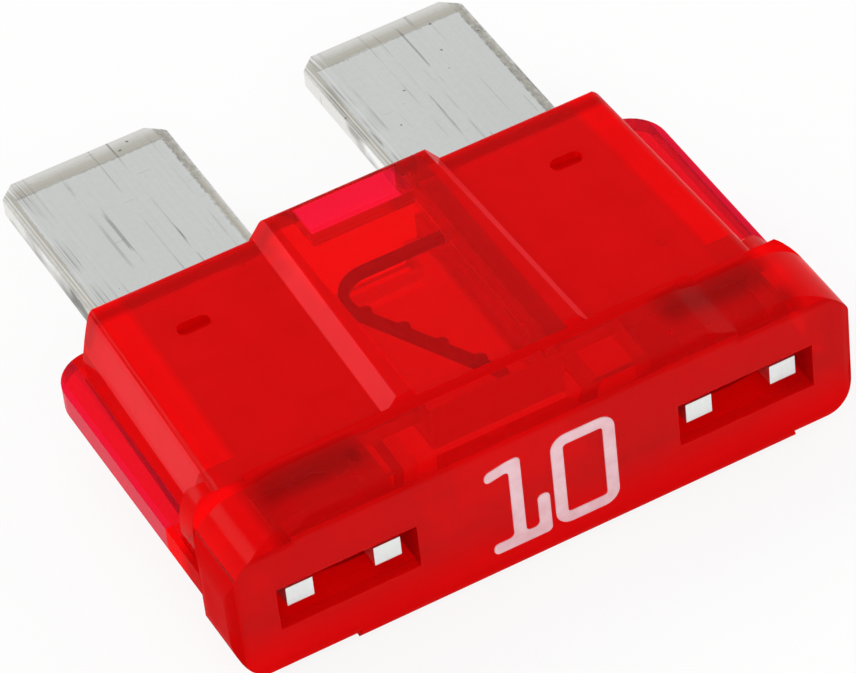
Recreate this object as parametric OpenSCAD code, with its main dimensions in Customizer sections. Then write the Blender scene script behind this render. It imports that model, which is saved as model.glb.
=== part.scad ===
// Automotive blade fuse, lying on its broad side as it does on a table.
// x runs along the head, y from the head to the blade tips, z up. Millimetres.
// Two pieces: the clear moulded housing and the stamped zinc fuse element.

/* [Which piece] */
// piece to draw

/* [Head] */
// length of the head, end to end
head_w = 19.1; // [15:0.1:30]
// depth of the head, outer face to its rear face
head_d = 3; // [2.2:0.1:6]
// thickness of the head over its pads
head_t = 5.1; // [4.4:0.1:9]
// how much thinner the head is beyond each pad, per side
pad_step = 0.15; // [0.05:0.05:0.4]
// reach of a pad on its long side of the middle
pad_long = 6.9; // [3:0.1:8]
// reach of a pad on its short side of the middle
pad_short = 5.3; // [3:0.1:8]
// length of the slope at each end of a pad
pad_run = 0.7; // [0.2:0.05:1]
// radius of the head's ends, seen on the outer face
head_end_r = 1.6; // [0.4:0.05:2.1]
// radius of the head's rear corners, seen from above
head_plan_r = 1.4; // [0.3:0.05:1.9]
// radius of the edge round the outer face
head_front_r = 0.4; // [0.1:0.05:0.6]
// radius of the head's rear edges
head_rear_r = 0.7; // [0.1:0.05:1]

/* [Block behind the head] */
// length of the block, head to blade end
block_l = 8.25; // [6:0.05:14]
// width of the block at the blade end, where its sides meet the flanges
block_w = 17.2; // [15.5:0.1:27]
// thickness of the block over its two faces
block_t = 3.7; // [2.6:0.1:5]
// how far each side leans in from its foot to the face
side_lean = 0.6; // [0.1:0.05:1]
// how much each side widens toward the head, per mm
block_draft = 0.03; // [0:0.002:0.05]
// radius of the block's upright corners at the blade end
block_corner_r = 1.4; // [0.4:0.05:1.8]
// radius of the block's long edges
block_edge_r = 0.4; // [0.1:0.05:0.6]
// radius of the block's edges at the blade end
block_end_r = 0.15; // [0.05:0.01:0.3]

/* [Shoulders between head and flanges] */
// width over both shoulders
shoulder_w = 18.6; // [16.5:0.1:29]
// thickness of a shoulder
shoulder_t = 3.4; // [2.4:0.1:4.6]
// how far a shoulder reaches behind the head
shoulder_l = 0.9; // [0.3:0.05:1.5]
// radius of a shoulder's end, seen on the outer face
shoulder_end_r = 1.2; // [0.3:0.05:1.4]
// radius of a shoulder's outer corner, seen from above
shoulder_plan_r = 0.7; // [0.2:0.05:1]
// radius of a shoulder's rear edges
shoulder_edge_r = 0.3; // [0.1:0.05:0.8]

/* [Raised middle panel] */
// width of the panel's flat top at the blade end
panel_w = 5.05; // [4.2:0.05:7]
// height of the panel above the block's face
panel_h = 0.55; // [0.2:0.05:1]
// width of the sloped flank beside the flat top
panel_flank = 0.43; // [0.1:0.01:1]
// how much each side widens toward the head, per mm
panel_draft = 0.03; // [0:0.005:0.08]
// radius of the panel's edge at the blade end
panel_end_r = 0.18; // [0.05:0.01:0.4]

/* [Side flanges] */
// width over both flanges
flange_span = 19; // [17:0.1:30]
// thickness of a flange
flange_t = 0.8; // [0.4:0.05:1.6]
// radius of a flange's outer corner
flange_r = 1.2; // [0.3:0.05:1.4]
// how far a flange stops short of the blade end
flange_back = 0.05; // [0:0.05:1]

/* [Hollows] */
// width of the hollow round the fuse link
hollow_w = 4.1; // [3.6:0.05:4.4]
// height of the hollow round the fuse link
hollow_t = 2.4; // [1:0.05:3]
// how far the hollow reaches into the head
hollow_in = 0.3; // [0:0.05:1]
// width of the thin lip over the hollow's mouth
mouth_w = 3.2; // [1:0.05:3.5]
// depth of the thin lip over the hollow's mouth
mouth_d = 1.15; // [0.2:0.05:2]
// thickness of the lip
mouth_lip = 0.4; // [0.2:0.05:0.8]
// clearance between the element and its slot, per side
slot_gap = 0.05; // [0.02:0.01:0.12]

/* [Test windows] */
// width of a window in the outer face
window_w = 4.2; // [3.8:0.05:4.6]
// height of a window
window_h = 1.5; // [1:0.05:2.4]
// how far a window lies outside its blade's middle
window_out = 1.25; // [0.9:0.05:1.5]
// how far a window reaches past the head
window_past = 0.4; // [0.2:0.05:1.5]

/* [Stake marks] */
// length of a mark across the fuse
stake_w = 1; // [0.5:0.05:2]
// width of a mark
stake_h = 0.5; // [0.2:0.05:1]
// depth of a mark
stake_d = 0.25; // [0.1:0.05:1]
// distance between the two marks of a face
stake_pitch = 11.7; // [9:0.1:13]
// distance of the marks from the blade end
stake_back = 2.2; // [0.8:0.05:3]

/* [Blades] */
// width of a blade
blade_w = 5.25; // [4.6:0.05:5.6]
// thickness of the zinc strip
blade_t = 0.65; // [0.4:0.05:0.8]
// distance between the blades' middles
blade_pitch = 9.7; // [9.4:0.05:10.4]
// length of a blade outside the housing
blade_out = 7.45; // [5:0.05:12]
// cut across each corner of the tip
tip_cut = 0.5; // [0.1:0.05:1]
// length of the coined slope at the tip
tip_slope_l = 0.72; // [0.2:0.02:1.5]
// drop of the coined slope at the tip, per face
tip_slope_h = 0.08; // [0.02:0.01:0.18]
// width of the coined slope along each side
side_slope_w = 0.3; // [0.1:0.02:0.6]
// drop of the coined slope along each side, per face
side_slope_h = 0.05; // [0.02:0.01:0.18]

/* [Test prongs] */
// width of a prong
prong_w = 0.8; // [0.4:0.05:1]
// distance between the two prongs of a blade
prong_pitch = 2.63; // [1.6:0.05:2.9]
// how far a prong's end lies behind the outer face
prong_back = 0.3; // [0.1:0.05:1]
// solid strip left between the notch and the head's rear face
notch_short = 1; // [0.2:0.05:1.2]

/* [Fuse link] */
// width of the link
link_w = 0.3; // [0.16:0.02:0.5]
// thickness of the link, thinned from the strip
link_t = 0.25; // [0.1:0.05:0.4]
// radius of the link's far turn, at its middle line
link_far_r = 1; // [0.4:0.05:1.2]
// radius of the link's near turn, at its middle line
link_near_r = 0.4; // [0.3:0.05:0.8]
// distance from the blades' inner ends to the link's near bar
link_in = 0; // [0:0.05:1]
// distance from the blade end to the link's far bar
link_back = 1.6; // [0.8:0.05:3]
// slant of the link, how far it leans for each mm of its way
link_lean = 0.457; // [0.2:0.01:0.6]
// how far the slant's middle lies to the left of the fuse's middle
link_shift = 0.5; // [0:0.05:0.7]
// number of lugs on the slanting stretch
lug_count = 4; // [2:1:6]
// diameter of a lug
lug_d = 0.42; // [0.2:0.02:0.6]

/* [Hidden] */
$fn = 48;
eps = 0.02;
// how far cutters and slabs run past what they shape
over = 1;
plastic = [0.82, 0.03, 0.05, 0.55];
zinc = [0.78, 0.8, 0.79];

blade_end = head_d + block_l;
overall_l = blade_end + blade_out;
panel_top = block_t / 2 + panel_h;
blade_x = blade_pitch / 2;
window_x = blade_x + window_out;
window_end = head_d + window_past;
shoulder_y = window_end;
slot_t = blade_t + 2 * slot_gap;
slot_w = blade_pitch + blade_w + 2 * slot_gap;
hollow_y = head_d - hollow_in;
notch_y = head_d - notch_short;
rear_r = min(head_plan_r, head_d - head_front_r - 0.1);
near_bar = shoulder_y + link_in + link_w / 2;
far_bar = blade_end - link_back;
link_run = (far_bar - near_bar) / 2;
lean_y = sqrt(1 - link_lean * link_lean);
link_edge = blade_x - blade_w / 2 + side_slope_w / 2;
lean_angle = atan2(link_lean, lean_y);
// the block's sides run on inside the flange, up to its mid-plane
side_angle = atan2(side_lean, (block_t - flange_t) / 2);
side_peak = flange_t / 2 * tan(side_angle);

// rectangle with true round corners, centred
module roundRect(w, h, r) {
    square([w - 2 * r, h], center = true);
    square([w, h - 2 * r], center = true);
    for (sx = [-1, 1], sy = [-1, 1])
        translate([sx * (w / 2 - r), sy * (h / 2 - r)]) circle(r);
}

// plate that narrows from y0 to y1, with its far corners rounded
module taperPlate(half1, draft, y0, y1, r) {
    slant = sqrt(1 + draft * draft);
    cx = half1 + draft * r - r * slant;
    cy = y1 - r;
    tx = cx + r / slant;
    ty = cy + r * draft / slant;
    half0 = half1 + draft * (y1 - y0);
    polygon([[-half0, y0], [half0, y0], [tx, ty], [cx, y1],
             [-cx, y1], [-tx, ty]]);
    for (s = [-1, 1]) translate([s * cx, cy]) circle(r);
}

// side view of a plate: full thickness with its far edges rounded
module sideProfile(half, y0, y1, r) {
    polygon([[y0, -half], [y1 - r, -half], [y1, -half + r],
             [y1, half - r], [y1 - r, half], [y0, half]]);
    for (s = [-1, 1]) translate([y1 - r, s * (half - r)]) circle(r);
}

// extrusion along x of a drawing in y and z
module alongX(w) {
    rotate([90, 0, 90]) linear_extrude(w, center = true) children();
}

// extrusion along y, from y0 to y1, of a drawing in x and z
module alongY(y0, y1) {
    translate([0, y1, 0]) rotate([90, 0, 0]) linear_extrude(y1 - y0) children();
}

// pad across the middle of the head's underside, with sloped ends
module padSection() {
    polygon([[-pad_short, -head_t / 2], [pad_long, -head_t / 2],
             [pad_long + pad_run, -head_t / 2 + pad_step],
             [pad_long, 0], [-pad_short, 0],
             [-pad_short - pad_run, -head_t / 2 + pad_step]]);
}

module headPlan() {
    hw = head_w / 2;
    f = head_front_r;
    polygon([[-hw + f, 0], [hw - f, 0], [hw, f], [hw, head_d - rear_r],
             [hw - rear_r, head_d], [-hw + rear_r, head_d],
             [-hw, head_d - rear_r], [-hw, f]]);
    for (s = [-1, 1]) {
        translate([s * (hw - f), f]) circle(f);
        translate([s * (hw - rear_r), head_d - rear_r]) circle(rear_r);
    }
}

module headSide(ht) {
    f = head_front_r;
    b = head_rear_r;
    polygon([[0, -ht + f], [f, -ht], [head_d - b, -ht], [head_d, -ht + b],
             [head_d, ht - b], [head_d - b, ht], [f, ht], [0, ht - f]]);
    for (s = [-1, 1]) {
        translate([f, s * (ht - f)]) circle(f);
        translate([head_d - b, s * (ht - b)]) circle(b);
    }
}

module head() {
    thin = head_t / 2 - pad_step;
    intersection() {
        alongY(0, head_d) roundRect(head_w, 2 * thin, head_end_r);
        linear_extrude(head_t + over, center = true) headPlan();
        alongX(head_w + over) headSide(thin);
    }
    intersection() {
        alongY(0, head_d) union() {
            padSection();
            rotate(180) padSection();
        }
        alongX(head_w) headSide(head_t / 2);
    }
}

// end view of one side of the block: it leans in from the flange to each face
module leaningSide() {
    reach = 2 * block_w;
    top = block_t / 2;
    r = block_edge_r;
    cx = -side_lean - r * (1 - sin(side_angle)) / cos(side_angle);
    tx = cx + r * cos(side_angle);
    tz = top - r + r * sin(side_angle);
    polygon([[-reach, -top], [cx, -top], [tx, -tz], [side_peak, 0],
             [tx, tz], [cx, top], [-reach, top]]);
    for (s = [-1, 1]) translate([cx, s * (top - r)]) circle(r);
}

// slab with one leaning side, turned by the draft
module leaningSlab(s) {
    mirror([s, 0, 0]) translate([block_w / 2, blade_end, 0])
        rotate([0, 0, atan(block_draft)])
            alongY(-2 * block_l, block_l) leaningSide();
}

module block() {
    intersection() {
        leaningSlab(0);
        leaningSlab(1);
        linear_extrude(block_t, center = true)
            taperPlate(block_w / 2 + side_peak + 5 * eps, block_draft,
                       head_d / 2, blade_end, block_corner_r);
        alongX(block_w * 2)
            sideProfile(block_t / 2, head_d / 2, blade_end, block_end_r);
    }
}

// rounded step on each side, between the head and the flange
module shoulders() {
    far = head_d + shoulder_l;
    intersection() {
        alongY(head_d / 2, far) roundRect(shoulder_w, shoulder_t, shoulder_end_r);
        linear_extrude(shoulder_t, center = true)
            taperPlate(shoulder_w / 2, 0, head_d / 2, far, shoulder_plan_r);
        alongX(shoulder_w)
            sideProfile(shoulder_t / 2, head_d / 2, far, shoulder_edge_r);
    }
}

// cutter whose face is one sloped flank of the panel
module flankCutter(sx, sz) {
    run = panel_flank;
    long = 4 * block_l;
    translate([sx * (panel_w / 2 + run), blade_end, sz * block_t / 2])
        rotate([0, 0, sx * atan(panel_draft)])
            rotate([0, -sx * sz * atan2(run, panel_h), 0])
                translate([sx * long / 2, 0, 0])
                    cube([long, long, long], center = true);
}

module panel() {
    difference() {
        alongX(panel_w + 4 * panel_flank + 2 * over)
            sideProfile(panel_top, head_d / 2, blade_end, panel_end_r);
        for (sx = [-1, 1], sz = [-1, 1]) flankCutter(sx, sz);
    }
}

module flanges() {
    linear_extrude(flange_t, center = true)
        taperPlate(flange_span / 2, 0, head_d / 2, blade_end - flange_back, flange_r);
}

// slot that the blades are pushed into, and the hollow round the link
module hollows() {
    translate([-slot_w / 2, shoulder_y - slot_gap, -slot_t / 2])
        cube([slot_w, blade_end - shoulder_y + slot_gap + over, slot_t]);
    translate([-hollow_w / 2, hollow_y, -hollow_t / 2])
        cube([hollow_w, blade_end - hollow_y + over, hollow_t]);
    lip = panel_top - mouth_lip;
    translate([-mouth_w / 2, blade_end - mouth_d, -lip])
        cube([mouth_w, mouth_d + over, 2 * lip]);
}

module windows() {
    for (s = [-1, 1])
        translate([s * window_x - window_w / 2, -over, -window_h / 2])
            cube([window_w, window_end + over, window_h]);
}

module stakeMarks() {
    for (sx = [-1, 1], sz = [-1, 1])
        translate([sx * stake_pitch / 2, blade_end - stake_back,
                   sz * (block_t / 2 - stake_d / 2 + eps / 2)])
            linear_extrude(stake_d + eps, center = true)
                roundRect(stake_w, stake_h, stake_h / 2 - 0.01);
}

module housing() {
    color(plastic) translate([0, -overall_l / 2, head_t / 2])
        difference() {
            union() {
                head();
                block();
                shoulders();
                panel();
                flanges();
            }
            hollows();
            windows();
            stakeMarks();
        }
}

module bladePlan() {
    h = blade_w / 2;
    c = tip_cut;
    polygon([[-h, shoulder_y], [h, shoulder_y], [h, overall_l - c],
             [h - c, overall_l], [-h + c, overall_l], [-h, overall_l - c]]);
}

module bladeSection() {
    h = blade_w / 2;
    t = blade_t / 2;
    w = side_slope_w;
    d = side_slope_h;
    polygon([[-h, -t + d], [-h + w, -t], [h - w, -t], [h, -t + d],
             [h, t - d], [h - w, t], [-h + w, t], [-h, t - d]]);
}

module bladeSide() {
    t = blade_t / 2;
    polygon([[shoulder_y - over, -t], [overall_l - tip_slope_l, -t],
             [overall_l, -t + tip_slope_h], [overall_l, t - tip_slope_h],
             [overall_l - tip_slope_l, t], [shoulder_y - over, t]]);
}

module blade() {
    intersection() {
        linear_extrude(blade_t, center = true) bladePlan();
        alongY(shoulder_y, overall_l) bladeSection();
        alongX(blade_w + over) bladeSide();
    }
}

// forked end that shows in the window, for a meter's test tips
module fork() {
    out = window_out + prong_pitch / 2 + prong_w / 2;
    in = window_out - prong_pitch / 2 - prong_w / 2;
    linear_extrude(blade_t, center = true) difference() {
        translate([in, prong_back])
            square([out - in, shoulder_y - prong_back + link_w]);
        translate([in + prong_w, prong_back - over])
            square([prong_pitch - prong_w, notch_y - prong_back + over]);
        translate([blade_w / 2, shoulder_y - slot_gap])
            square([out, over + link_w]);
    }
}

// middle of a turn of radius r, across and along from the slant's middle
function turnX(r) = (r - link_lean * (link_run - r)) / lean_y;

// distance along the slant from its middle to the start of a turn
function slantEnd(r) = (link_run - r) * lean_y - turnX(r) * link_lean;

// one half of the link, from the middle of the slant to its blade
module linkHalf(r, reach) {
    // straight stretch along the slant
    rotate(lean_angle)
        translate([-link_w / 2, 0])
            square([link_w, slantEnd(r) + eps]);
    // turn
    wide = 3 * r;
    translate([turnX(r), link_run - r]) intersection() {
        difference() {
            circle(r + link_w / 2);
            circle(r - link_w / 2);
        }
        polygon([[0, 0], [0, wide], [-wide, wide], [-wide, -wide * tan(lean_angle)]]);
    }
    // bar that runs to the blade
    translate([turnX(r) - eps, link_run - link_w / 2])
        square([reach - turnX(r) + eps, link_w]);
}

module link() {
    far = slantEnd(link_far_r);
    step = (far + slantEnd(link_near_r)) / (lug_count - 0.4);
    translate([-link_shift, (far_bar + near_bar) / 2]) {
        linkHalf(link_far_r, link_edge + link_shift);
        rotate(180) linkHalf(link_near_r, link_edge - link_shift);
        rotate(lean_angle) for (i = [0 : lug_count - 1])
            translate([link_w / 3, far - (i + 0.1) * step])
                circle(d = lug_d);
    }
}

module fuse_element() {
    color(zinc) translate([0, -overall_l / 2, head_t / 2]) {
        for (s = [0, 1]) mirror([s, 0, 0]) translate([blade_x, 0, 0]) {
            blade();
            fork();
        }
        linear_extrude(link_t, center = true) link();
    }
}

housing();
fuse_element();
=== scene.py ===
import math

import bmesh
import bpy
from mathutils import Matrix, Vector


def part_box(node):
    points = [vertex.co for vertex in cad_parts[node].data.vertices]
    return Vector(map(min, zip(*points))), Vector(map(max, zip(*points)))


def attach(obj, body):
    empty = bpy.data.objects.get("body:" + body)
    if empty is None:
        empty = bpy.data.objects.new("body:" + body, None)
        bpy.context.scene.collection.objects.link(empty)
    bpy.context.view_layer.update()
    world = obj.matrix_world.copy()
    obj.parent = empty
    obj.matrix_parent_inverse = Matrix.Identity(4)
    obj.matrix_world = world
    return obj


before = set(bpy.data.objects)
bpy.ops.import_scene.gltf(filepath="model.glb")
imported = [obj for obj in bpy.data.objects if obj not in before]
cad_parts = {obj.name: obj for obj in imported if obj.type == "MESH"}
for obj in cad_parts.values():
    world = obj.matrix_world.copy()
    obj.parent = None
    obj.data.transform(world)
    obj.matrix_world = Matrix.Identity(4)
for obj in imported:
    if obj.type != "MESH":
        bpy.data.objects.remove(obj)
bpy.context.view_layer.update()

mm = 0.001
scene = bpy.context.scene


def say(text):
    print("scene: " + text)


def onlySelect(obj=None):
    bpy.ops.object.select_all(action="DESELECT")
    if obj is not None:
        obj.select_set(True)
        bpy.context.view_layer.objects.active = obj


# camera
cameraView = {
    "azimuth": -24.154,
    "elevation": 43.867,
    "roll": -6.817,
    "distance": 151.92,
    "target": (0.038, -2.524, 2.55),
    "focalPixels": 5541.7,
    "frameWidth": 856,
    "sensor": 36.0,
}


def makeCamera(view):
    az, el, roll = (math.radians(view[k]) for k in ("azimuth", "elevation", "roll"))
    back = Vector((math.sin(az) * math.cos(el), -math.cos(az) * math.cos(el), math.sin(el)))
    flat = Vector((math.cos(az), math.sin(az), 0))
    up = flat.cross(-back)
    right = flat * math.cos(roll) + up * math.sin(roll)
    up = up * math.cos(roll) - flat * math.sin(roll)
    place = (Vector(view["target"]) + back * view["distance"]) * mm
    turn = Matrix((right, up, back)).transposed().to_4x4()
    bpy.ops.object.camera_add()
    camera = bpy.context.object
    camera.matrix_world = Matrix.Translation(place) @ turn
    camera.data.sensor_width = view["sensor"]
    camera.data.lens = view["focalPixels"] * view["sensor"] / view["frameWidth"]
    camera.data.clip_start = 0.005
    scene.camera = camera


onlySelect()
makeCamera(cameraView)
say("camera placed")


# wraps a socket, so that shader maths reads as sums
class Sock:
    def __init__(self, shader, socket):
        self.shader, self.socket = shader, socket

    def maths(self, operation, first, second, clamp=False):
        return self.shader.add("ShaderNodeMath", {"operation": operation, "use_clamp": clamp},
                               {0: first, 1: second})

    def __add__(self, other):
        return self.maths("ADD", self, other)

    def __mul__(self, other):
        return self.maths("MULTIPLY", self, other)

    def __sub__(self, other):
        return self.maths("SUBTRACT", self, other)

    def __rsub__(self, other):
        return self.maths("SUBTRACT", other, self)

    def over(self, limit):
        return self.maths("GREATER_THAN", self, limit)

    def under(self, limit):
        return self.maths("LESS_THAN", self, limit)

    def size(self):
        return self.maths("ABSOLUTE", self, 0.0)

    def clamped(self):
        return self.maths("MULTIPLY", self, 1.0, True)

    def rise(self, start, steep):
        # from 0 at start to 1, and backwards where steep is negative
        return ((self - start) * steep).clamped()

    def band(self, middle, half, steep):
        # full round the middle, 0 from half a width away
        return ((1.0 - (self - middle).size() * (1 / half)) * steep).clamped()

    __radd__ = __add__
    __rmul__ = __mul__


class Shader:
    def __init__(self, owner):
        owner.use_nodes = True
        self.tree = owner.node_tree
        self.tree.nodes.clear()

    def link(self, value, socket):
        if isinstance(value, Sock):
            self.tree.links.new(value.socket, socket)
        else:
            socket.default_value = value

    def add(self, kind, settings=None, inputs=None, out=0):
        node = self.tree.nodes.new(kind)
        for name, value in (settings or {}).items():
            if name == "stops":
                ramp = node.color_ramp
                while len(ramp.elements) < len(value):
                    ramp.elements.new(0.5)
                for element, (place, tone) in zip(ramp.elements, value):
                    element.position = place
                    element.color = (tone, tone, tone, 1)
            else:
                setattr(node, name, value)
        for name, value in (inputs or {}).items():
            self.link(value, node.inputs[name])
        return Sock(self, node.outputs[out]) if node.outputs else None

    def coords(self, scale=(1, 1, 1), shift=(0, 0, 0)):
        # object coordinates in millimetres, stretched by scale
        spot = self.add("ShaderNodeTexCoord", out="Object")
        size = tuple(s / mm for s in scale)
        return self.add("ShaderNodeMapping", {}, {"Vector": spot, "Scale": size, "Location": shift})

    def noise(self, scale, stretch=(1, 1, 1), detail=3.0, rough=0.5, shift=(0, 0, 0)):
        return self.add("ShaderNodeTexNoise", {}, {
            "Vector": self.coords(stretch, shift), "Scale": scale, "Detail": detail, "Roughness": rough})

    def lineNoise(self, place, detail):
        # varies with one value only, so it draws straight lines
        return self.add("ShaderNodeTexNoise", {"noise_dimensions": "1D"},
                        {"W": place, "Scale": 1.0, "Detail": detail})

    def axes(self):
        # object coordinates one by one, in millimetres
        spot = self.coords()
        return [self.add("ShaderNodeSeparateXYZ", {}, {0: spot}, out=axis) for axis in "XYZ"]

    def highest(self, first, second):
        return self.add("ShaderNodeMath", {"operation": "MAXIMUM"}, {0: first, 1: second})

    def ramp(self, value, *stops):
        return self.add("ShaderNodeValToRGB", {"stops": stops}, {"Fac": value})

    def mixColour(self, factor, first, second):
        return self.add("ShaderNodeMix", {"data_type": "RGBA"}, {0: factor, 6: first, 7: second}, out=2)

    def total(self, masks, weights, start=0):
        for name, weight in weights.items():
            start = masks[name] * weight + start
        return start

    def bump(self, height, distance, strength=1.0, under=None):
        inputs = {"Height": height, "Distance": distance * mm, "Strength": strength}
        if under is not None:
            inputs["Normal"] = under
        return self.add("ShaderNodeBump", {}, inputs)


def newMaterial(name):
    material = bpy.data.materials.new(name)
    return material, Shader(material)


def dress(node, material):
    node.data.materials.clear()
    node.data.materials.append(material)


# clear red plastic, its places in millimetres from the middle of the base
plasticLook = {
    "tint": (1.0, 0.52, 0.56, 1),
    "tintDeep": (1.0, 0.42, 0.46, 1),
    "depthColour": (0.997, 0.06, 0.5, 1),
    "density": 10500.0,
    "ior": 1.34,
    "reflection": (0.1, 0.1, 0.1, 1),
    "roughLow": 0.02,
    "roughHigh": 0.12,
    "rougher": {"haze": 0.4, "specks": 0.6},
    # scale, stretch, detail, roughness and shift of each noise
    "haze": (0.7, (1, 1, 1), 2),
    "specks": (13.0, (1, 1, 1), 1, 0.5, (3, 1, 7)),
    "waves": (0.4, (1, 1, 1), 0),
    "speckStops": ((0.745, 0.0), (0.79, 1.0)),
    "speckBump": (0.004, 0.6),
    "waveBump": 0.012,
    # scattering share of the plastic: its tones, painted shade and sheen copies among them, its gloss, and
    # how much of it each place has
    "milk": (0.95, 0.0022, 0.003, 1),
    "milkHeadShaded": (0.74, 0.002, 0.0025, 1),
    "milkShaded": (0.36, 0.001, 0.001, 1),
    "milkPaleSheen": (0.88, 0.05, 0.06, 1),
    "crimson": (0.85, 0.012, 0.06, 1),
    "milkRough": 0.7,
    "milkShare": 0.49,
    "shares": {"bloom": 0.25, "ends": 0.45, "hollow": -0.22, "lip": -0.18, "flange": -0.27, "fillet": 0.5,
               "foot": 0.35, "edgeGlow": 0.25, "windowShade": -0.12, "headEnd": 0.2, "outer": 0.1,
               "hazeMiddle": 0.12},
    # painted shade: how much of the shaded tone each place gets
    "paintedShade": {"endShade": 0.6, "windowShade": 0.85, "fillet": 0.5, "foot": 0.15, "headWall": 0.4},
    "paintedSheenAndSpecks": {"bloom": 0.75, "specks": 0.12, "haze": 0.03},
    "endTone": 0.8,
    "flangeTone": 0.9,
    "outerTone": 0.4,
    # heights over the middle from which a face counts as the block's, the panel's or the head's
    "middleZ": 2.55,
    "faceZ": 1.0,
    "filletZ": 1.2,
    "lipZ": 1.5,
    "headZ": 1.7,
    "windowZ": 2.0,
    # sloped sides that carry a painted pale sheen: middle, half width, height over the middle, first y
    "draft": 0.03,
    "sides": ((2.80, 0.24, 1.87, 2.38, -6.3), (8.28, 0.3, 0.8, 1.74, -5.3)),
    # the painted sheen is fainter toward the blade end: that end, steepness, share left there, patchiness
    "paintedSheenFade": (1.9, -0.2, 0.5, 0.4),
    # how far out the end walls start, the hollow ends, the lip ends (and its first y), the flange starts
    # (and its half thickness)
    "ends": 9.32,
    "hollow": 2.3,
    "lip": (1.65, 0.7),
    "flange": (8.75, 0.45),
    # places along the part, from the blades' side to the head's outer face
    "blockStart": -5.4,
    "panelStart": -6.6,
    "outerFace": -9.3,
    # start and steepness of the head, middle and half width of its rear fillet
    "headRear": (-6.2, -1.5),
    "fillet": (-6.72, 0.4),
    # painted shade at the foot of the outer face: last y, top and steepness
    "foot": (-9.0, 2.3, -0.7),
    # middle, half width and steepness of the painted highlight band inside the block's long edges, and of
    # the painted shade band inside its blade end
    "edgeGlow": (7.56, 0.56, 2.2),
    "endShade": (1.4, 0.32, 1.3),
    # painted shade over the windows, across and along
    "windowShade": ((6.1, 1.75, 3.5), (-7.6, 0.75, 1.5)),
    # painted light on the ends of the head's top: start and steepness
    "headEnd": (7.75, 2.5),
}


def plasticMasks(s, look):
    # places where the moulding scatters more or less light and carries painted shade and sheen, 1 inside
    # and 0 outside
    x, y, z = s.axes()
    across = x.size()
    off = across + y * look["draft"]
    height = (z - look["middleZ"]).size()
    haze = s.noise(*look["haze"])
    specks = s.ramp(s.noise(*look["specks"]), *look["speckStops"])
    masks = {"haze": haze, "hazeMiddle": haze - 0.5, "specks": specks}
    # painted sheen: a paler tone on the sloped sides of block and panel
    bloom = 0
    for middle, half, low, high, first in look["sides"]:
        side = (off - middle).size().under(half) * height.over(low) * height.under(high)
        bloom = side * y.over(first) + bloom
    bladeEnd, steep, least, patchy = look["paintedSheenFade"]
    masks["bloom"] = bloom * ((y - bladeEnd) * steep + least + masks["hazeMiddle"] * patchy).clamped()
    behind = y.over(look["blockStart"])
    face = height.over(look["faceZ"])
    masks["ends"] = across.over(look["ends"])
    masks["hollow"] = across.under(look["hollow"]) * face * y.over(look["panelStart"])
    reach, start = look["lip"]
    masks["lip"] = across.under(reach) * y.over(start) * height.over(look["lipZ"])
    reach, thin = look["flange"]
    masks["flange"] = across.over(reach) * height.under(thin) * behind
    masks["head"] = y.rise(*look["headRear"])
    # painted shade on the head's end walls
    masks["headWall"] = masks["ends"] * masks["head"]
    # painted shade on the rear fillet between head and block, which also scatters more
    rear, half = look["fillet"]
    masks["fillet"] = (y - rear).size().under(half) * height.over(look["filletZ"]) * (1.0 - masks["hollow"])
    # painted shade at the foot of the outer face, which also scatters more
    front, low, steep = look["foot"]
    masks["foot"] = y.under(front) * z.rise(low, steep)
    # painted highlight: a bright band inside the block's long edges
    masks["edgeGlow"] = off.band(*look["edgeGlow"]) * face * behind
    # painted shade: a dark band inside the block's blade end
    masks["endShade"] = y.band(*look["endShade"]) * face * behind
    # painted shade over the windows
    wide, deep = look["windowShade"]
    masks["windowShade"] = across.band(*wide) * y.band(*deep) * height.over(look["windowZ"])
    masks["outer"] = y.under(look["outerFace"])
    headTop = masks["head"] * height.over(look["headZ"]) * (1.0 - masks["outer"])
    masks["headEnd"] = across.rise(*look["headEnd"]) * headTop
    return masks


def makePlastic(look):
    material, s = newMaterial("clearRedPlastic")
    masks = plasticMasks(s, look)
    waves = s.bump(s.noise(*look["waves"]), look["waveBump"])
    skin = s.bump(masks["specks"], *look["speckBump"], waves)
    patches = s.total(masks, look["rougher"])
    clear = s.add("ShaderNodeBsdfPrincipled", {}, {
        "Base Color": s.mixColour(masks["haze"], look["tint"], look["tintDeep"]),
        "Roughness": look["roughLow"] + (look["roughHigh"] - look["roughLow"]) * patches,
        "IOR": look["ior"], "Specular Tint": look["reflection"],
        "Transmission Weight": 1.0, "Normal": skin})
    # painted shade: a darker tone over the head, less of it on the outer face
    inHead = masks["head"] * (1.0 - masks["outer"] * look["outerTone"])
    tone = s.mixColour(inHead, look["milk"], look["milkHeadShaded"])
    # painted shade, laid on by place
    tone = s.mixColour(s.total(masks, look["paintedShade"]).clamped(), tone, look["milkShaded"])
    # painted light: the ends of the head's top go back to the unshaded tone
    tone = s.mixColour(masks["headEnd"] * look["endTone"], tone, look["milk"])
    tone = s.mixColour(masks["flange"] * look["flangeTone"], tone, look["crimson"])
    # painted sheen on the sloped sides, with pale specks and haze
    tone = s.mixColour(s.total(masks, look["paintedSheenAndSpecks"]).clamped(), tone, look["milkPaleSheen"])
    milk = s.add("ShaderNodeBsdfPrincipled", {}, {
        "Base Color": tone, "Roughness": look["milkRough"], "Specular IOR Level": 0.0, "Normal": skin})
    share = s.total(masks, look["shares"], look["milkShare"]).clamped()
    surface = s.add("ShaderNodeMixShader", {}, {0: share, 1: clear, 2: milk})
    depth = s.add("ShaderNodeVolumeAbsorption", {}, {
        "Color": look["depthColour"], "Density": look["density"]})
    s.add("ShaderNodeOutputMaterial", {}, {"Surface": surface, "Volume": depth})
    return material


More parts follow.
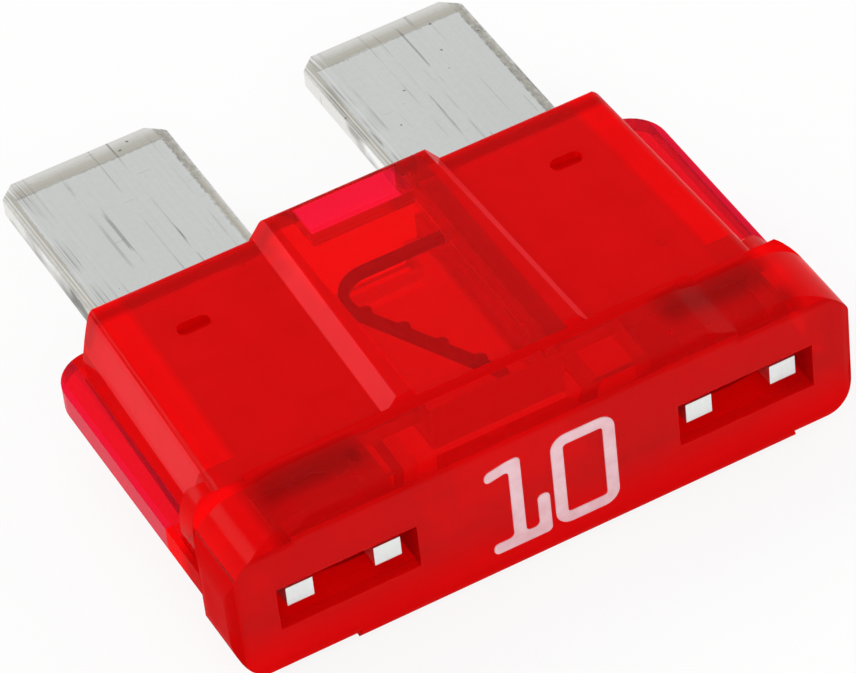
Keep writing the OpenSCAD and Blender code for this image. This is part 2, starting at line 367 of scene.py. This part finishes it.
# zinc strip, its places in millimetres from the middle of the base
zincLook = {
    "light": (0.90, 0.92, 0.905, 1),
    "dark": (0.68, 0.70, 0.685, 1),
    "darkMarks": (0.17, 0.165, 0.15, 1),
    "tarnish": (0.54, 0.52, 0.45, 1),
    "rust": (0.40, 0.32, 0.21, 1),
    "paleRimAndGlint": (0.93, 0.93, 0.92, 1),
    # painted shade: near black for the link in its hollow
    "link": (0.04, 0.025, 0.02, 1),
    "sheet": {"broad": 0.3, "grain": 0.45, "brushed": 0.25},
    "tarnished": 0.8,
    "rusty": 0.3,
    "rimAndGlints": {"rim": 0.6, "glints": 0.7},
    "linkShade": 0.85,
    "rough": 0.32,
    "rougher": {"grainMiddle": 0.15, "darkMarks": 0.2, "coined": 0.06, "inHollow": 0.3},
    "raised": {"grain": 0.35, "brushedBare": 0.3},
    "relief": (0.016, 0.8),
    "lean": 0.012,  # the scratches lean a little off the blade's length
    # middle and half width of a blade, then its coined sides and tip, with how fast their marks set in
    "bladeX": 4.85,
    "bladeHalf": 2.62,
    "slope": 0.3,
    "tipY": 9.35,
    "tipSlope": 0.82,
    "steepness": (3.0, 1.4),
    "worn": 0.25,
    "patchy": 0.6,
    "coinedStops": ((0.0, 0.0), (0.25, 1.0)),
    "cornerStops": ((0.0, 0.0), (0.05, 1.0), (0.16, 0.35), (0.4, 0.0)),
    "rimStops": ((0.5, 0.0), (0.95, 1.0)),
    "rustStops": ((0.0, 0.0), (0.12, 1.0), (0.3, 0.3), (0.6, 0.0)),
    "linkHalf": 2.1,
    # the blades are bare from here
    "inside": 1.6,
    # grooves worn into the left side of both blades, with painted glint highlights, mottled right side
    "grooves": (-1.75, -2.2),
    "mottled": 2.3,
    # scale, stretch, detail, roughness and shift of each noise
    "noises": {
        "broad": (0.35, (1, 0.35, 1), 3, 0.5, (0, 0, 0)),
        "grain": (7.0, (1, 0.7, 1), 3, 0.7, (0, 0, 0)),
        "breaks": (1.0, (2.2, 0.42, 1), 3, 0.5, (1, 5, 3)),
        "fades": (1.0, (1.6, 0.5, 1), 2, 0.5, (7, 2, 3)),
        "pits": (3.4, (1, 1, 1), 1, 0.5, (2, 9, 4)),
        "dents": (1.0, (1.0, 9.0, 1), 3, 0.5, (6, 1, 5)),
    },
    # lines across a millimetre, start and detail of each noise that draws lines
    "lines": {
        "brushed": (9.0, 0.0, 4),
        "scratches": (4.3, 4.0, 3),
        "hairs": (5.3, 11.0, 2),
        "grooves": (15.0, 2.0, 3),
        "glints": (12.0, 9.0, 2),
    },
    # values of a noise between which its marks fade in
    "fadeIn": {
        "breaks": (0.53, 0.60),
        "fades": (0.46, 0.62),
        "pits": (0.785, 0.81),
        "dents": (0.72, 0.77),
        "scratches": (0.65, 0.69),
        "hairs": (0.60, 0.70),
        "grooves": (0.47, 0.58),
        "glints": (0.56, 0.62),
        "mottle": (0.42, 0.56),
    },
    # how dark each kind of mark is
    "marks": {"scratches": 0.5, "hairs": 0.3, "pits": 0.8, "dents": 0.3, "corner": 0.45, "grooves": 0.55,
              "mottle": 0.4},
}


def zincMasks(s, look):
    # patterns of the sheet, then the marks on the bare blades
    x, y = s.axes()[:2]
    across = x + y * look["lean"]
    masks = {name: s.noise(*noise) for name, noise in look["noises"].items()}
    for name, (density, start, detail) in look["lines"].items():
        masks[name] = s.lineNoise(across * density + start, detail)
    masks["mottle"] = masks["grain"] * 0.6 + masks["broad"] * 0.4
    for name, (low, high) in look["fadeIn"].items():
        masks[name] = s.ramp(masks[name], (low, 0.0), (high, 1.0))
    bare = y.over(look["inside"])
    masks["brushedBare"] = masks["brushed"] * bare
    masks["grainMiddle"] = masks["grain"] - 0.5
    # place across one blade, then its two long sides
    own = x + x.over(0.0) * (-2 * look["bladeX"]) + look["bladeX"]
    leftSide = own.rise(*look["grooves"]) * bare
    masks["grooves"] = masks["grooves"] * masks["fades"] * leftSide
    # painted highlight lines along the left side of the blades
    masks["glints"] = masks["glints"] * leftSide
    masks["mottle"] = masks["mottle"] * own.over(look["mottled"])
    masks["scratches"] = masks["scratches"] * masks["breaks"]
    masks["hairs"] = masks["hairs"] * masks["fades"]
    # coined slopes: dull and a little yellow, darker in the corner where they meet the flat
    side = (x.size() - look["bladeX"]).size() - look["bladeHalf"] + look["slope"]
    tip = y - look["tipY"] + look["tipSlope"]
    sideSteep, tipSteep = look["steepness"]
    masks["worn"] = masks["grainMiddle"] * look["worn"]
    edge = s.highest(side * sideSteep, tip * tipSteep) + masks["worn"]
    patchyEdge = edge + (masks["broad"] - 0.5) * look["patchy"]
    masks["coined"] = s.ramp(edge, *look["coinedStops"])
    masks["coinedBare"] = masks["coined"] * bare
    masks["corner"] = s.ramp(edge, *look["cornerStops"]) * masks["broad"]
    masks["rim"] = s.ramp(edge, *look["rimStops"]) * bare
    masks["rust"] = s.ramp(patchyEdge, *look["rustStops"]) * bare
    masks["darkMarks"] = (s.total(masks, look["marks"]) * bare).clamped()
    # painted shade: the link is coloured near black, as it lies in the shade of its hollow
    masks["inHollow"] = x.size().under(look["linkHalf"])
    return masks


def makeZinc(look):
    material, s = newMaterial("scratchedZinc")
    masks = zincMasks(s, look)
    tone = s.mixColour(s.total(masks, look["sheet"]).clamped(), look["light"], look["dark"])
    tone = s.mixColour(masks["coinedBare"] * look["tarnished"], tone, look["tarnish"])
    tone = s.mixColour(masks["rust"] * look["rusty"], tone, look["rust"])
    # pale rim and painted glint highlights
    tone = s.mixColour(s.total(masks, look["rimAndGlints"]).clamped(), tone, look["paleRimAndGlint"])
    tone = s.mixColour(masks["darkMarks"], tone, look["darkMarks"])
    tone = s.mixColour(masks["inHollow"] * (look["linkShade"] + masks["worn"]), tone, look["link"])
    relief = s.bump(s.total(masks, look["raised"]), *look["relief"])
    surface = s.add("ShaderNodeBsdfPrincipled", {}, {
        "Base Color": tone, "Metallic": 1.0, "Normal": relief,
        "Roughness": s.total(masks, look["rougher"], look["rough"]).clamped()})
    s.add("ShaderNodeOutputMaterial", {}, {"Surface": surface})
    return material


# printing ink, thicker and whiter round the edge of each stroke
inkLook = {
    "rim": ((0.86, 0.62, 0.66, 1), (0.78, 0.44, 0.48, 1)),
    "core": ((0.72, 0.40, 0.46, 1), (0.64, 0.26, 0.31, 1)),
    "rough": 0.5,
    "rougher": 0.3,
    "specular": 0.2,
    "patches": (2.4, (1, 1, 1), 4),
    "grain": (14.0, (1, 1, 1), 3, 0.7),
    "patchStops": ((0.35, 0.0), (0.70, 1.0)),
    "shares": {"patches": 0.7, "grain": 0.3},
    "relief": (0.012, 0.7),
}


def makeInk(look, part):
    material, s = newMaterial("paleInk" + part.capitalize())
    pale, thin = look[part]
    patches = s.ramp(s.noise(*look["patches"]), *look["patchStops"])
    grain = s.noise(*look["grain"])
    share = s.total({"patches": patches, "grain": grain}, look["shares"]).clamped()
    surface = s.add("ShaderNodeBsdfPrincipled", {}, {
        "Base Color": s.mixColour(share, pale, thin),
        "Roughness": look["rough"] + (grain - 0.5) * look["rougher"],
        "Specular IOR Level": look["specular"], "Normal": s.bump(grain, *look["relief"])})
    s.add("ShaderNodeOutputMaterial", {}, {"Surface": surface})
    return material


plastic = makePlastic(plasticLook)
zinc = makeZinc(zincLook)
ink = [makeInk(inkLook, part) for part in ("rim", "core")]
dress(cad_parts["housing"], plastic)
dress(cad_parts["fuse_element"], zinc)
say("materials made")


# rating number
# sizes in millimetres, on the head's outer face: x along it, z up from its middle
ratingPrint = {
    "stroke": 0.37,
    "thick": 0.05,
    "soft": 0.016,
    "zeroCentre": (1.07, 0.02),
    "zeroSize": (1.96, 3.28),
    "zeroCorner": 0.48,
    "stemX": (-1.2, -0.83),
    "stemZ": (-1.62, 1.62),
    "flagReach": 0.72,
    "flagDrop": 0.15,
    "footLeft": 0.64,
    "footRight": 0.78,
    "hookRise": 1.1,
    "round": 0.16,
    "rim": 0.085,
}


def pickEdges(obj, test):
    # selects the edges whose middle passes the test, in edit mode
    mesh = bmesh.from_edit_mesh(obj.data)
    bpy.ops.mesh.select_mode(type="EDGE")
    bpy.ops.mesh.select_all(action="DESELECT")
    for edge in mesh.edges:
        middle = (edge.verts[0].co + edge.verts[1].co) / 2
        edge.select_set(test(middle))
    bmesh.update_edit_mesh(obj.data)


def pushEdges(obj, test, step):
    pickEdges(obj, test)
    bpy.ops.mesh.extrude_region_move(TRANSFORM_OT_translate={"value": step})


def startPlane(name, size, centre):
    onlySelect()
    bpy.ops.mesh.primitive_plane_add(size=1, location=(centre[0], centre[1], 0))
    obj = bpy.context.object
    obj.name = name
    obj.scale = (size[0], size[1], 1)
    bpy.ops.object.transform_apply(location=True, scale=True)
    return obj


def near(value, target):
    return abs(value - target) < 1e-6


def standUp(obj, look, headFace, middleZ):
    # from the drawing plane to the head's outer face, then given its thickness
    onlySelect(obj)
    turn = Matrix.Rotation(math.radians(90), 4, "X")
    obj.matrix_world = Matrix.Translation((0, headFace - 0.004 * mm, middleZ)) @ turn
    bpy.ops.object.transform_apply(location=True, rotation=True, scale=True)
    solid = obj.modifiers.new("thickness", "SOLIDIFY")
    solid.thickness = look["thick"] * mm
    solid.offset = 0.2
    edge = obj.modifiers.new("softEdge", "BEVEL")
    edge.width = look["soft"] * mm
    edge.segments = 2
    edge.angle_limit = math.radians(50)
    for modifier in ("thickness", "softEdge"):
        bpy.ops.object.modifier_apply(modifier=modifier)
    bpy.ops.object.shade_smooth_by_angle(angle=math.radians(35))


def makeZero(look):
    size = [v * mm for v in look["zeroSize"]]
    centre = [v * mm for v in look["zeroCentre"]]
    obj = startPlane("ratingZero", size, centre)
    bpy.ops.object.mode_set(mode="EDIT")
    bpy.ops.mesh.select_all(action="SELECT")
    bpy.ops.mesh.bevel(offset=look["zeroCorner"] * mm, segments=7, affect="VERTICES")
    bpy.ops.mesh.select_mode(type="FACE")
    bpy.ops.mesh.select_all(action="SELECT")
    bpy.ops.mesh.inset(thickness=look["stroke"] * mm, depth=0)
    bpy.ops.mesh.delete(type="FACE")
    bpy.ops.object.mode_set(mode="OBJECT")
    return obj


def makeOne(look):
    left, right = (v * mm for v in look["stemX"])
    low, high = (v * mm for v in look["stemZ"])
    bar = look["stroke"] * mm
    obj = startPlane("ratingOne", (right - left, high - low), ((left + right) / 2, (low + high) / 2))
    bpy.ops.object.mode_set(mode="EDIT")
    for height in (high - bar, low + bar):
        bpy.ops.mesh.select_all(action="SELECT")
        bpy.ops.mesh.bisect(plane_co=(0, height, 0), plane_no=(0, 1, 0))
    # flag, which drops a little toward its end
    pushEdges(obj, lambda m: near(m.x, left) and m.y > high - bar,
              (-look["flagReach"] * mm, -look["flagDrop"] * mm, 0))
    # foot, with the hook that rises at its right end
    pushEdges(obj, lambda m: near(m.x, left) and m.y < low + bar, (-look["footLeft"] * mm, 0, 0))
    reach = right + look["footRight"] * mm - bar
    pushEdges(obj, lambda m: near(m.x, right) and m.y < low + bar, (reach - right, 0, 0))
    pushEdges(obj, lambda m: near(m.x, reach) and m.y < low + bar, (bar, 0, 0))
    pushEdges(obj, lambda m: near(m.y, low + bar) and m.x > reach, (0, look["hookRise"] * mm, 0))
    bpy.ops.mesh.select_all(action="SELECT")
    bpy.ops.mesh.remove_doubles(threshold=1e-6)
    bpy.ops.mesh.dissolve_limited(angle_limit=math.radians(1))
    bpy.ops.mesh.select_mode(type="VERT")
    bpy.ops.mesh.select_all(action="SELECT")
    bpy.ops.mesh.bevel(offset=look["round"] * mm, segments=5, affect="VERTICES")
    bpy.ops.object.mode_set(mode="OBJECT")
    return obj


def markCore(obj, look):
    # insets the printed side of the strokes and gives what lies inside the thinner ink
    onlySelect(obj)
    bpy.ops.object.mode_set(mode="EDIT")
    bpy.ops.mesh.select_mode(type="FACE")
    bpy.ops.mesh.select_all(action="DESELECT")
    mesh = bmesh.from_edit_mesh(obj.data)
    front = min(vertex.co.y for vertex in mesh.verts)
    for face in mesh.faces:
        face.select_set(all(abs(vertex.co.y - front) < 1e-6 for vertex in face.verts))
    bmesh.update_edit_mesh(obj.data)
    bpy.ops.mesh.inset(thickness=look["rim"] * mm, depth=0)
    mesh = bmesh.from_edit_mesh(obj.data)
    for face in mesh.faces:
        face.material_index = 1 if face.select else 0
    bmesh.update_edit_mesh(obj.data)
    bpy.ops.object.mode_set(mode="OBJECT")


def makeRating(look):
    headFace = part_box("housing")[0].y
    middleZ = (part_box("fuse_element")[0].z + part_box("fuse_element")[1].z) / 2
    digits = [makeOne(look), makeZero(look)]
    for digit in digits:
        standUp(digit, look, headFace, middleZ)
        markCore(digit, look)
    onlySelect(digits[0])
    digits[1].select_set(True)
    bpy.ops.object.join()
    rating = bpy.context.object
    rating.name = "rating_number"
    for material in ink:
        rating.data.materials.append(material)
    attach(rating, "root")
    return rating


makeRating(ratingPrint)
say("rating number made")


# floor and light
studio = {
    "floorSize": 3.0,
    "floorDrop": 0.02,  # millimetres under the part, so that no two faces coincide
    "floorColour": (0.92, 0.92, 0.92, 1),
    "cameraShare": 0.85,
    "skyLow": 0.95,
    "skyHigh": 0.62,
    "lamps": (
        # place in metres, size, power, colour
        ((-0.35, 0.35, 0.45), 0.30, 1.6, (1.0, 0.99, 0.97)),
        ((0.43, 0.22, 0.13), 0.07, 0.25, (1.0, 1.0, 1.0)),
        ((-0.10, -0.50, 0.40), 0.35, 0.7, (0.98, 0.99, 1.0)),
    ),
}


def makeFloor(look):
    onlySelect()
    bpy.ops.mesh.primitive_plane_add(size=look["floorSize"], location=(0, 0, -look["floorDrop"] * mm))
    floor = bpy.context.object
    floor.name = "studioFloor"
    material, s = newMaterial("paleFloor")
    path = {name: s.add("ShaderNodeLightPath", out=name)
            for name in ("Is Camera Ray", "Is Glossy Ray", "Is Transmission Ray")}
    share = (path["Is Camera Ray"] * look["cameraShare"] + path["Is Glossy Ray"]
             + path["Is Transmission Ray"]).clamped()
    paper = s.noise(0.05, detail=2)
    matt = s.add("ShaderNodeBsdfDiffuse", {}, {"Color": look["floorColour"], "Roughness": paper})
    bright = s.add("ShaderNodeEmission", {}, {"Color": (1, 1, 1, 1), "Strength": 1.0})
    mix = s.add("ShaderNodeMixShader", {}, {0: share, 1: matt, 2: bright})
    s.add("ShaderNodeOutputMaterial", {}, {"Surface": mix})
    # lamps and sky light the part, the floor's own glow only shows in what looks at it
    material.cycles.emission_sampling = "NONE"
    floor.data.materials.append(material)


def makeSky(look):
    world = bpy.data.worlds.new("studioSky")
    scene.world = world
    s = Shader(world)
    spot = s.add("ShaderNodeTexCoord", out="Generated")
    height = s.add("ShaderNodeSeparateXYZ", {}, {0: spot}, out="Z")
    level = s.ramp(height, (0.0, look["skyLow"]), (0.25, look["skyLow"]), (0.75, look["skyHigh"]))
    sky = s.add("ShaderNodeBackground", {}, {"Color": level, "Strength": 1.0})
    s.add("ShaderNodeOutputWorld", {}, {"Surface": sky})


def makeLamps(look):
    middle = Vector((0, 0, 0.002))
    for place, size, power, colour in look["lamps"]:
        onlySelect()
        bpy.ops.object.light_add(type="AREA", location=place)
        lamp = bpy.context.object
        lamp.rotation_euler = (middle - Vector(place)).to_track_quat("-Z", "Y").to_euler()
        lamp.data.size = size
        lamp.data.energy = power
        lamp.data.color = colour


makeFloor(studio)
makeSky(studio)
makeLamps(studio)
scene.view_settings.view_transform = "Standard"
say("floor and light made")
